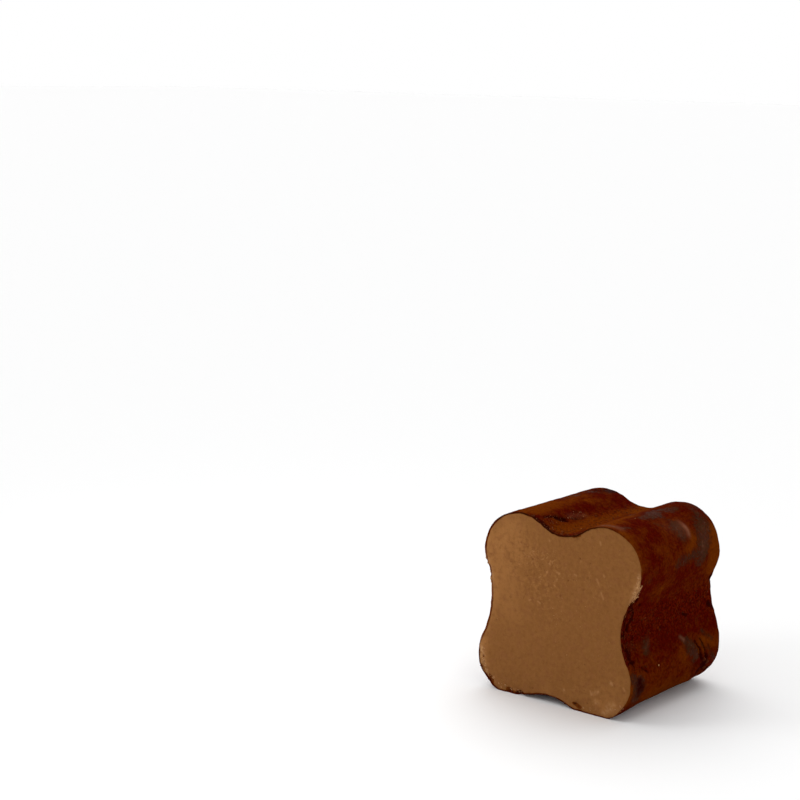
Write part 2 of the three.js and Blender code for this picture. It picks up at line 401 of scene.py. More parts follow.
cocoa = {
    # deep red and orange-brown, and the grains after them, stand for the cocoa in shade and in light:
    # mixed by the warm mask, they paint light and shade as well as random tone
    "deepRed": (0.060, 0.0014, 0.0),
    "orangeBrown": (0.123, 0.0222, 0.0002),
    "redGrain": (0.118, 0.0085, 0.0),
    "orangeGrain": (0.150, 0.0310, 0.0010),
    "gap": (0.024, 0.0004, 0.0),
    "umber": (0.047, 0.0088, 0.0016),
    # slate and olive slate are the rubbed chocolate, their grey partly a painted sheen
    "slate": (0.041, 0.0115, 0.0058),
    # the torn band's colour, and the colour of the shade painted in the dark marks
    "torn": (0.022, 0.0007, 0.0001),
    "oliveSlate": (0.039, 0.0135, 0.0042),
    # a pale painted sheen laid on the rubbed places
    "paintedSheen": (0.115, 0.044, 0.025),
    # a painted highlight, for the glints and for the light painted along the left edge of the cut
    "paintedHighlight": (0.190, 0.068, 0.036),
    "rim": (0.030, 0.0045, 0.0008),
    "umberShare": 0.75,
    "slateShare": 0.85,
    "roughness": 1.0,
    "greasyRoughness": 0.5,
    "gloss": 0.004,
    # each bump's height, strength, and the size, detail and roughness of its noise
    "bumps": [(0.14, 1.0, 0.5, 3, 0.6), (0.1, 1.0, 0.2, 3, 0.7)],
}


def cocoaMaterial():
    s = Shader("cocoaCoat")
    # the warm mask with random tone on it: orange-brown where light is painted, deep red where shade is
    # painted
    warmthAndLight = s.plus(s.attribute("warmAndLit"), s.patches(1.7, 5, 0.62, 0.3, 0.7, -0.16, 0.16))
    warmthAndLight = s.plus(warmthAndLight, s.patches(0.8, 4, 0.68, 0.3, 0.7, -0.22, 0.22, "LINEAR"))
    warmthAndLight = s.plus(warmthAndLight, s.patches(0.4, 4, 0.7, 0.28, 0.72, -0.2, 0.2, "LINEAR"))
    warmthAndLight = s.between(warmthAndLight, 0, 1, shape="LINEAR")
    s.colour = s.mix(warmthAndLight, cocoa["deepRed"], cocoa["orangeBrown"])
    # darker blots, then powder: grains lighter than their ground with dark gaps between them
    s.cover(cocoa["gap"], s.patches(0.7, 5, 0.7, 0.48, 0.34, 0, 0.35))
    powder = s.noise(0.3, 4, 0.7)
    powdery = s.between(s.attribute("hollow"), 0, 1, 0.4, 1)
    grainColour = s.mix(warmthAndLight, cocoa["redGrain"], cocoa["orangeGrain"])
    s.cover(grainColour, s.between(powder, 0.5, 0.62, 0, 0.75), powdery)
    # the dark gaps thin out where the warm mask paints light
    fewerWhereWarm = s.between(warmthAndLight, 0.2, 0.8, 1, 0.45)
    s.cover(cocoa["gap"], s.between(powder, 0.49, 0.38, 0, 0.9), powdery, fewerWhereWarm)
    # rubbed places: umber where they are thin, slate in their middles, with specks; the slate's grey is
    # partly a painted sheen, and the pale glaze on it is a painted sheen
    rubbed = s.times(s.attribute("greasy"), s.patches(0.35, 5, 0.72, 0.25, 0.75, 0.35, 1.65))
    rubbed = s.plus(rubbed, s.patches(1, 3, 0.6, 0.3, 0.7, -0.15, 0.15))
    thin = s.between(rubbed, 0.2, 0.95)
    slate = s.between(s.plus(rubbed, s.patches(0.7, 4, 0.6, 0.3, 0.7, -0.25, 0.25)), 0.5, 1.3)
    slateColour = s.mix(s.patches(1.2, 3, 0.6, 0.42, 0.58), cocoa["slate"], cocoa["oliveSlate"])
    s.cover(cocoa["umber"], thin, cocoa["umberShare"])
    s.cover(slateColour, slate, cocoa["slateShare"])
    s.cover(cocoa["gap"], s.patches(0.34, 4, 0.7, 0.48, 0.36, 0, 0.6), thin)
    s.cover(cocoa["paintedSheen"], s.patches(0.55, 5, 0.7, 0.52, 0.68, 0, 0.6), slate)
    # dark pits and clefts with ragged edges, painted shade among them, then the painted highlights
    # and the edge that the cut shows
    pitted = s.times(s.attribute("torn"), s.patches(0.3, 4, 0.7, 0.3, 0.7, 0.5, 1.5))
    s.cover(cocoa["torn"], s.between(pitted, 0.2, 0.75))
    s.cover(cocoa["paintedHighlight"], s.attribute("paintedHighlight"))
    s.cover(cocoa["rim"], s.attribute("rim"))
    roughness = s.between(thin, 0, 1, cocoa["roughness"], cocoa["greasyRoughness"])
    return s.surface(roughness, cocoa["gloss"], cocoa["bumps"])


cream = {
    "tan": (0.201, 0.0785, 0.0195),
    "paleTan": (0.300, 0.126, 0.036),
    "redTan": (0.200, 0.073, 0.022),
    "darkTan": (0.132, 0.046, 0.0095),
    "fleck": (0.345, 0.160, 0.058),
    "crumb": (0.45, 0.235, 0.098),
    "pore": (0.07, 0.024, 0.006),
    "cocoaDust": (0.125, 0.0280, 0.0006),
    "deepDust": (0.034, 0.0050, 0.0002),
    "roughness": 0.65,
    "gloss": 0.05,
    # flakes of nut: size, and the degrees they are turned in the plane of the cut
    "flakes": [(0.258, -55), (0.286, 15), (0.308, 70)],
    "bumps": [(0.07, 1.0, 0.45, 3, 0.6, (1, 1, 2.2)), (0.045, 1.0, 0.22, 3, 0.7)],
    "crumbBumps": [(0.03, 0.8, 0.1, 3, 0.7)],
}


def creamMaterial():
    s = Shader("nutCream")
    flecked = s.attribute("flecked")
    # painted light, with random tone: lighter where the near lamp falls and along the bottom
    palerAndLit = s.plus(s.attribute("palerAndLit"), s.patches(2.6, 4, 0.6, 0.35, 0.65, -0.1, 0.1))
    s.colour = s.mix(s.between(palerAndLit, 0, 1), cream["tan"], cream["paleTan"])
    # soft blotches, and ground nuts as darker and paler grains, strongest where the flecks are
    s.cover(cream["redTan"], s.patches(1.1, 3, 0.6, 0.46, 0.66, 0, 0.5))
    s.cover(cream["paleTan"], s.patches(0.5, 5, 0.7, 0.38, 0.62, 0, 0.2))
    s.cover(cream["darkTan"], s.patches(0.62, 5, 0.7, 0.5, 0.34, 0, 0.3))
    strength = s.between(flecked, 0.1, 1)
    s.cover(cream["darkTan"], s.patches(0.55, 4, 0.65, 0.5, 0.68, 0, 0.5), strength)
    s.cover(cream["paleTan"], s.patches(0.5, 4, 0.65, 0.52, 0.68, 0, 0.6), strength)
    # short pale flakes lying three ways, in patches, and a few dark flecks and tiny pores
    patches = s.times(s.patches(1.3, 3, 0.6, 0.44, 0.6), flecked)
    for size, turn in cream["flakes"]:
        flakes = s.between(s.noise(size, 2, 0.5, (1, 1, 2), turn), 0.6, 0.7, 0, 0.6)
        s.cover(cream["fleck"], flakes, patches)
    darkFlecks = s.between(s.noise(0.3, 2, 0.5, (1, 1, 1.8), -30), 0.34, 0.27, 0, 0.55)
    s.cover(cream["darkTan"], darkFlecks, s.between(flecked, 0, 1, 0.15, 1))
    pores = s.between(s.dots(1.7), 0.07, 0.025, 0, 0.5)
    s.cover(cream["pore"], pores, s.patches(2, 2, 0.6, 0.5, 0.6))
    s.cover(cream["fleck"], s.attribute("pale"))
    # cream smeared pale along the edge, and cocoa dusted over it, thin and then deep
    s.cover(cream["crumb"], s.attribute("smeared"), s.patches(0.35, 3, 0.6, 0.35, 0.65, 0.2, 1.4))
    dusted = s.times(s.attribute("dusted"), s.patches(0.35, 4, 0.7, 0.3, 0.7, 0.6, 1.4))
    s.cover(cream["cocoaDust"], s.between(dusted, 0.15, 0.8))
    s.cover(cream["deepDust"], s.between(dusted, 1, 1.6))
    return s.surface(cream["roughness"], cream["gloss"], cream["bumps"])


def crumbMaterial(name, dark, light, roughness):
    s = Shader(name)
    s.colour = s.mix(s.patches(0.25, 3, 0.6, 0.35, 0.65), dark, light)
    return s.surface(roughness, cream["gloss"], cream["crumbBumps"])


coat = {
    # points round each lobe and the hollow after it, from the upper right, counter-clockwise
    "steps": [(96, 60), (76, 32), (56, 28), (96, 60)],
    "edgeRows": 14,
    "farRings": 44,
    "rows": 98,
    "fineBand": 2.4,  # the rows lie closer together from the cut to here
    "fineStep": 0.1,
    "inset": 0.04,
    "fray": 0.02,
    "givesWay": 1.6,  # how far behind the cut the outside gives way to the chips
    "liningRows": [0.5, 1.5, 6.0, 12.0, 18.0],
    "liningDepth": 0.36,
    "liningFoot": 0.28,
    "fullThickness": 0.3,
    # unevenness: height, size, seed, octaves
    "low": (0.05, 3.2, 11, 2),
    "streaks": (0.035, (0.7, 9.0, 0.7), 15, 1),
    "powder": (0.05, 0.8, 17, 3),
    "clots": (1.0, 0.9, 23, 2),
    "clotHeight": 0.08,
    "tornGround": (0.3, 1.0, 31, 3),
    "tornDepth": 0.12,
    "crumbled": (0.16, 0.6, 35, 2),
    "crumbledDepth": 0.04,
    "frayNoise": (1.0, 0.5, 63, 1),
    "rubbedSmooth": 0.75,
    # noise in the masks, listed alike
    "ragged": (1.0, 1.1, 41, 4),
    "drifts": (1.0, 3.4, 53, 3),
    "otherPatches": (1.0, 5.0, 43, 2),
    "cracks": (1.0, (0.9, 0.9, 1.5), 45, 2),
    "crackWidth": 0.22,
    "lengthwise": (0.08, (0.7, 7.0, 0.7), 47, 1),
    "rimMottle": (0.5, 0.6, 57, 1),
    "raggedness": 0.6,
    "markedWay": (0.6, -0.77, 0.18),  # the way that the sides with the listed marks face
    "rimDarkness": 0.15,
    "rimFade": (1.0, 0.5, 0.15),  # how the dark rim fades over the first rows of the outside
    # marks in the outside: from, to, reach, height
    "marks": [
        ((9.3, 13.4, 23.3), (10.2, 13.4, 22.5), 1.4, 0.3),
        ((7.6, 16.4, 24), (10.4, 16.9, 21.8), 0.7, -0.15),
        ((11.7, 16.2, 7.8), (12, 16.9, 6.5), 0.2, -0.25), ((12, 16.9, 6.5), (12, 17.8, 4.8), 0.22, -0.28),
        ((11.6, 15.2, 7.4), (12, 16, 6), 0.2, -0.2), ((12, 16, 6), (11.9, 16.8, 4.6), 0.22, -0.25),
        ((11.9, 15.7, 7.3), (12.1, 16.9, 5.4), 0.25, 0.1),
        ((12.1, 18.2, 6.6), (12, 19.2, 4.6), 0.25, -0.2), ((11.7, 15.7, 4), (11, 15.3, 2.4), 0.28, -0.3),
        ((11.9, 17.8, 4.2), (11.4, 18, 3), 0.5, 0.2), ((11, 14, 2.2), (10.9, 15.7, 2), 1, 0.45),
        ((10.8, 17, 2.1), (10.9, 18.6, 2.2), 0.7, -0.25), ((-3.3, 3.7, 23.8), (-2.6, 5, 23.4), 0.34, -0.3),
        ((-2.3, 6.6, 23.2), (-1.9, 8.2, 23.1), 0.3, -0.15),
        ((10.9, 20.7, 11.1), (10.9, 20.3, 11.5), 0.45, -0.3),
        ((10.9, 12.4, 8.4), (11.4, 13.6, 7.6), 0.35, 0.12),
        ((5.1, 1.8, 24.7), (7.8, 1.8, 24.5), 0.5, 0.05), ((10.2, 0.9, 7.9), (11, 3.4, 6.5), 0.3, -0.12),
        ((10.3, 2.7, 14.9), (10.2, 3, 14.7), 0.25, -0.14),
        ((9.8, 0.6, 14.1), (9.6, 0.5, 13.4), 0.25, -0.14),
        ((9.5, 1.1, 12.3), (9.5, 1.2, 11.9), 0.25, -0.12),
        ((9.5, 2.5, 10.7), (9.6, 2.4, 10.3), 0.25, -0.12),
    ],
    # the band behind the cut where the cocoa has torn away: from, to, reach, strength
    "torn": [
        ((10.7, 0.5, 15.9), (9.9, 0.9, 13.8), 0.9, 0.85), ((9.9, 1, 13.8), (9.4, 0.9, 11.2), 1.4, 0.9),
        ((9.4, 0.6, 11.2), (9.6, 0.4, 9), 0.8, 1), ((9.8, 0.6, 8.4), (10.6, 0.9, 7), 0.9, 0.9),
        ((11, 3.1, 6.8), (11.2, 3.8, 6.1), 0.5, 0.7),
    ],
    # patches rubbed greasy: from, to, reach, strength
    "greasy": [
        ((5, 0.9, 24.7), (7.8, 1.6, 24.5), 0.6, 0.55), ((7.8, 2.7, 24.5), (8.4, 3.6, 24.3), 0.5, 0.75),
        ((5.3, 6.6, 24.6), (4.9, 11, 24.3), 0.6, 0.3), ((6.8, 8.6, 24.5), (7, 11.8, 24.3), 1, 0.95),
        ((5.8, 12.4, 24.4), (6.8, 16.6, 24.2), 1.2, 0.85),
        ((9.7, 12, 23.1), (10.5, 12.1, 22.3), 1.3, 1.1), ((8.6, 8.9, 23.9), (9.4, 9.8, 23.4), 0.6, 0.6),
        ((7.6, 19.4, 23.9), (9.8, 18.6, 22.4), 1.5, 0.8),
        ((10.4, 17.6, 21.9), (11.2, 16.9, 20.4), 1.5, 0.9),
        ((11.2, 16.7, 20.4), (11.6, 15.6, 18.6), 1.5, 0.9),
        ((11.7, 9.4, 19.1), (11.6, 13.8, 19.3), 0.85, 0.85),
        ((11.8, 1.2, 18.3), (11.8, 2.6, 18.6), 0.7, 0.45), ((10, 5, 9.4), (10.2, 4.7, 8.5), 0.9, 1.05),
        ((9.6, 1, 9.6), (9.9, 2.4, 9.4), 0.8, 0.55), ((10.9, 12.4, 8.4), (11.6, 13.9, 7.2), 0.6, 0.75),
        ((11.6, 13.7, 7), (11.9, 15, 5.4), 1.2, 1), ((10.9, 0.5, 6), (11, 1.4, 4.6), 0.8, 0.9),
        ((11, 2.1, 4.6), (10.6, 2.2, 3), 1.4, 1.1), ((11.5, 17.2, 8.2), (12, 18.9, 7), 0.5, 0.7),
        ((12.1, 18, 5.8), (12, 19.6, 4.2), 0.7, 0.7), ((-6.6, 10.5, 24.6), (-6.4, 14.2, 24.5), 0.8, 0.6),
        ((-6.3, 16.8, 24.4), (-4.8, 20.4, 24.1), 1.3, 0.7),
    ],
    # dark pits, clefts and clots, and painted shade: in the creases at the back of the lower right lobe,
    # on the top hollow's left wall, at the far end of the upper left ridge and along the bottom of the
    # right side, by the table: from, to, reach, strength
    "dark": [
        ((11.9, 17.9, 4.3), (11.3, 18, 2.8), 0.6, 0.8), ((-5.8, 17.4, 24.3), (-4.8, 20.2, 24.1), 1, 0.42),
        ((11.8, 16.5, 7.4), (12, 16.9, 6.5), 0.2, 0.8), ((12, 16.9, 6.5), (12, 17.8, 4.8), 0.28, 1),
        ((11.6, 15.2, 7.4), (12, 16, 6), 0.24, 0.8), ((12, 16, 6), (11.9, 16.8, 4.6), 0.32, 1),
        ((12.1, 18.2, 6.2), (12, 19.4, 4.6), 0.3, 0.6), ((11.7, 15.7, 4), (11, 15.3, 2.4), 0.2, 0.7),
        ((-3.3, 3.7, 23.6), (-2.6, 5, 23.2), 0.42, 1.2), ((-3.9, 1.9, 24.1), (-3.6, 2.9, 24), 0.3, 0.7),
        ((-2.4, 6.4, 23.3), (-1.9, 8.2, 23.1), 0.3, 0.6),
        ((-4.7, 0.3, 24.4), (-2.4, 0.4, 23.2), 0.45, 0.65),
        ((10.9, 19.8, 11.4), (11, 20.7, 10.8), 0.5, 0.95),
        ((10.7, 20.3, 14.9), (10.4, 21.1, 14.1), 0.65, 0.8),
        ((-6.6, 18.6, 24.3), (-4.6, 20.6, 24), 0.8, 0.35), ((9, 1.5, 0.2), (10.6, 14, 1), 0.7, 0.45),
        ((10.6, 14, 1), (11.2, 19.5, 2.2), 0.9, 0.6), ((10.4, 13.7, 11.2), (10.5, 14.8, 10.8), 0.22, 0.7),
        ((11, 2.1, 4.8), (10.8, 2.5, 3.6), 1.1, 0.75), ((11.8, 17.2, 3.8), (11.1, 17.4, 2.6), 0.7, 0.5),
        ((10.4, 0.1, 15.8), (10.2, 0.4, 15.2), 0.3, 1), ((10.3, 2.7, 14.9), (10.2, 3, 14.7), 0.25, 0.9),
        ((9.8, 0.4, 14.2), (9.6, 0.2, 13.4), 0.3, 1), ((9.5, 1.1, 12.3), (9.5, 1.2, 11.9), 0.25, 0.8),
        ((9.5, 2.5, 10.7), (9.6, 2.4, 10.3), 0.22, 0.7), ((-4.3, 0.1, 24.3), (-1.5, 0.1, 22.7), 0.25, 0.6),
        ((-1.5, 0.1, 22.6), (1.8, 0.1, 22.8), 0.2, 0.5), ((-3.8, 2, 24.1), (-3.1, 8.4, 23.7), 0.4, 0.3),
        ((-3.1, 8.4, 23.7), (-2.7, 17, 23.3), 0.5, 0.25), ((11, 3.1, 6.7), (11.2, 3.9, 6), 0.22, 0.9),
        ((10.2, 0.9, 7.9), (10.4, 1.7, 7.7), 0.25, 0.9),
    ],
    # painted highlights: the glint on the dome and smaller glints on the top and the right side, and
    # painted
    # light along the left edge of the cut: from, to, reach, strength
    "paintedHighlight": [
        ((10.1, 13.9, 22.8), (10.7, 13.7, 22.1), 0.5, 0.7),
        ((9.6, 13.5, 23.3), (10.1, 13.6, 22.9), 0.5, 0.4),
        ((9.5, 12.6, 23.3), (10.5, 12.7, 22.4), 0.8, 0.1),
        ((9.4, 10.4, 23.3), (10, 11.8, 22.7), 1.2, 0.1), ((5.2, 0.9, 24.7), (7.6, 1.4, 24.5), 0.6, 0.4),
        ((-2.9, 6.4, 23.5), (-2.3, 9.2, 23.2), 0.5, 0.16),
        ((10.6, 17.8, 21.8), (11.4, 16.7, 20), 0.9, 0.12),
        ((10.9, 12.3, 8.5), (11.2, 12.8, 8.1), 0.25, 0.5),
        ((10.1, 5.7, 9.5), (10.3, 4.6, 8.6), 0.3, 0.12), ((-12, 0, 18.6), (-10.6, 0, 13), 0.45, 0.65),
        ((-10.6, 0, 12.6), (-12.2, 0, 6.6), 0.45, 0.3), ((-12.2, 0, 6.4), (-11.5, 0, 2.4), 0.5, 0.8),
    ],
    # where the edge that the cut shows is darkest: from, to, reach, strength
    "darkRim": [
        ((-9.5, 0, 23.6), (-6.5, 0, 24.6), 1.2, 0.35), ((-6.5, 0, 24.6), (1.5, 0, 22.6), 3, 0.7),
        ((1.5, 0, 22.6), (7.5, 0, 24.6), 2, 0.5),
    ],
    # and along the bottom where light comes up from the floor; painted shade: less on the top hollow's
    # left wall and in the right hollow
    # painted light: more orange on the tops, on walls facing the lamp, on the far right edge, on the left
    # edge of the cut
    # how orange each stretch of the outside is, painted light and shade among it: from, to, reach,
    # strength
    "warmAndLit": [
        ((-6.3, 0, 24.6), (-6.2, 7, 24.5), 1.7, 0.95), ((-6.2, 7, 24.5), (-6, 14, 24.4), 1.5, 0.5),
        ((-0.9, 2, 22.6), (0.4, 20, 22.6), 1.4, 1.1), ((1.6, 6, 23.1), (3.4, 20, 23.6), 1.3, 0.8),
        ((4.6, 1, 24.6), (4.4, 8, 24.4), 1.4, 1.1), ((6.2, 1, 24.7), (6, 4.5, 24.6), 1, 0.8),
        ((4.2, 8, 24.3), (3.8, 14, 24), 1.2, 0.5), ((8.6, 0.5, 24.2), (9.6, 3, 23.4), 1, 0.35),
        ((9.4, 0, 23.4), (11.5, 0.2, 20.4), 1, 0.6), ((11, 5, 21.6), (11.6, 9, 20), 1.4, 0.4),
        ((11.4, 4, 15.8), (11.6, 9, 16.6), 1, 0.35), ((10.2, 4.4, 22.9), (10.1, 6.6, 23), 0.8, -0.45),
        ((9.5, 5, 23.4), (10.2, 8, 22.6), 1.1, 0.3), ((11.2, 19.9, 20.8), (11.6, 19.7, 18), 1.7, 1.4),
        ((11.5, 19.8, 16.6), (11.3, 19.6, 15.8), 0.8, 0.7), ((-12, 0, 20), (-10.9, 0, 13), 1.2, 1.2),
        ((-10.8, 0, 12), (-12.3, 0, 5.5), 1.2, 1.2), ((11.4, 14.5, 21.4), (11.8, 13, 20), 1, 0.6),
        ((10.2, 0.6, 2), (9.9, 16, 1.3), 1.2, 0.6), ((11.2, 0.2, 6.4), (10.6, 0.2, 2.4), 0.5, 1),
        ((11.8, 15, 8), (12, 19.5, 6), 1.2, 0.5), ((-4.2, 0, 24.3), (-3, 20, 23.5), 0.75, -0.25),
        ((-3.9, 13.2, 24), (-3.1, 17.2, 23.7), 0.8, 0.6), ((9.6, 7, 11.3), (10.8, 18, 10.2), 2.4, -0.5),
        ((10.4, 0.8, 4.6), (9.8, 14, 3), 1.8, 0.35), ((11.4, 12, 6.8), (11.8, 12.4, 6.2), 1, 0.5),
    ],
}


def acrossHollows(steps):
    # 0 round each lobe, and a squared half sine wave across each hollow.
    waves = [np.r_[np.zeros(lobe), np.sin(np.linspace(0, np.pi, hollow)) ** 2] for lobe, hollow in steps]
    return np.concatenate(waves)


def coatRelief(points, masks):
    # Low unevenness, streaks drawn out along the bar, powder that clots in the hollows, the torn band's
    # rough ground, crumbled stretches near the cut and the listed marks; rubbed patches are smoother.
    y = points[..., 1]
    powdery = 1 - coat["rubbedSmooth"] * masks["greasy"]
    streaks = layered(coat["streaks"], points) * masks["hollow"]
    powder = layered(coat["powder"], points) * powdery
    clots = coat["clotHeight"] * smooth(0.3, 0.7, layered(coat["clots"], points))
    clots *= powdery * (0.3 + masks["hollow"])
    torn = masks["torn"] * (layered(coat["tornGround"], points) - coat["tornDepth"]) * smooth(0.0, 0.5, y)
    crumbled = np.clip(raisedBy(bar["crumbly"], points * (1, 0, 1)), 0, 1) * smooth(1.2, 0.0, y)
    crumbled *= layered(coat["crumbled"], points) - coat["crumbledDepth"]
    relief = layered(coat["low"], points) + streaks + powder + clots + torn + crumbled
    return relief + raisedBy(coat["marks"], points) - coat["inset"]


def coatMasks(points, hollow):
    # Where the coat is greasy, torn or in painted shade, where highlights are painted, and how orange it
    # is with painted light and shade, from 0 to about 1 and ragged at the edges. The listed marks lie on
    # the top and the right side, and the other sides get greasy patches alike.
    ragged = layered(coat["ragged"], points)
    uneven = 1 + coat["raggedness"] * ragged
    drifts = layered(coat["drifts"], points)
    otherSides = smooth(0.08, -0.12, wayOut(points) @ coat["markedWay"])
    otherPatches = smooth(0.0, 0.6, layered(coat["otherPatches"], points)) * (1 - hollow) * otherSides
    patches = np.maximum(raisedBy(coat["greasy"], points), otherPatches)
    torn = smooth(0.3, 0.7, raisedBy(coat["torn"], points) + coat["raggedness"] * ragged)
    cracks = smooth(coat["crackWidth"], 0.0, np.abs(layered(coat["cracks"], points))) * torn
    # the dark marks, with painted shade in the creases, on the top hollow's wall and by the table among
    # them
    dark = raisedBy(coat["dark"], points) * uneven
    # random tone, with painted light and shade: the lobes more orange than the shaded hollows
    warmAndLit = raisedBy(coat["warmAndLit"], points) * (1 + 0.7 * drifts + 0.3 * ragged)
    warmAndLit += 0.2 * (1 - hollow) + 0.3 * drifts + layered(coat["lengthwise"], points) + 0.1 * ragged
    return {
        "greasy": np.clip(patches * uneven, 0, 1.2),
        # the torn mask also carries the dark marks, and with them painted shade
        "torn": np.clip(0.2 * torn + 0.75 * cracks + dark, 0, 1),
        "paintedHighlight": np.clip(raisedBy(coat["paintedHighlight"], points) * (1 + 0.4 * ragged), 0, 1),
        "warmAndLit": np.clip(warmAndLit, 0, 1),
        "hollow": hollow,
        "rim": np.zeros_like(hollow),
    }


def makeCoat():
    # The outside: straight walls with finer rows near the cut, the rolled far edge and the far end.
    steps, nearest = coat["steps"], bar["clearance"]
    y = np.arange(0, coat["fineBand"], coat["fineStep"])
    y = np.concatenate([y, np.linspace(coat["fineBand"], straight, coat["rows"])])
    outer, _ = walls(y, 0.0, steps, coat["edgeRows"])
    grid = np.concatenate([outer, farEnd(outer[-1], np.linspace(1, 0, coat["farRings"] + 1)[1:-1])])
    hollow = acrossHollows(steps) * smooth(bar["length"], straight, grid[..., 1])
    masks = coatMasks(grid, hollow)
    points = grid + coatRelief(grid, masks)[..., None] * wayOut(grid)
    # the cut's edge is chipped and a little frayed, and what lies close behind it gives way
    back = chippedBack(points[0]) + coat["fray"] * (1 + layered(coat["frayNoise"], points[0]))
    points[..., 1] += back * np.clip(1 - points[..., 1] / coat["givesWay"], 0, 1)
    points[..., 1] = np.maximum(points[..., 1], nearest)
    points = np.clip(points, boxLow + nearest, boxHigh - nearest)
    # the edge that the cut shows, and the lining behind it
    rim, rimOut = walls(np.zeros(1), 0.0, steps, 1)
    thickness = rimThickness(rim[0])
    lip = points[0] - 0.5 * thickness * rimOut[0]
    edge = points[0] - thickness * rimOut[0]
    lining, liningOut = walls(coat["liningRows"], coat["liningDepth"], steps, bar["innerEdgeRows"])
    lining[0] += np.maximum(coat["fullThickness"] - thickness, 0) * liningOut[0]
    inside = np.concatenate([np.stack([lip, edge]), lining, farEnd(lining[-1], bar["innerShares"])])
    inside[2:, :, 2] = np.maximum(inside[2:, :, 2], coat["liningFoot"])
    # that edge is darkest along the top, and not dark at the far left and right
    x = rim[0][:, 0]
    darkEdge = coat["rimDarkness"] * smooth(-10.5, -8.0, x) + raisedBy(coat["darkRim"], rim[0])
    darkEdge *= smooth(10.0, 8.0, x) * (0.8 + layered(coat["rimMottle"], rim[0]))
    masks["rim"][:3] = np.array(coat["rimFade"])[:, None] * np.clip(darkEdge, 0, 1)
    for key, mask in masks.items():
        masks[key] = np.concatenate([np.repeat(mask[:1], len(inside), 0), mask])
    ringPiece("coat", np.concatenate([inside[::-1], points]), masks, cocoaMaterial(), "cocoa_coat")
    return points, wayOut(points)


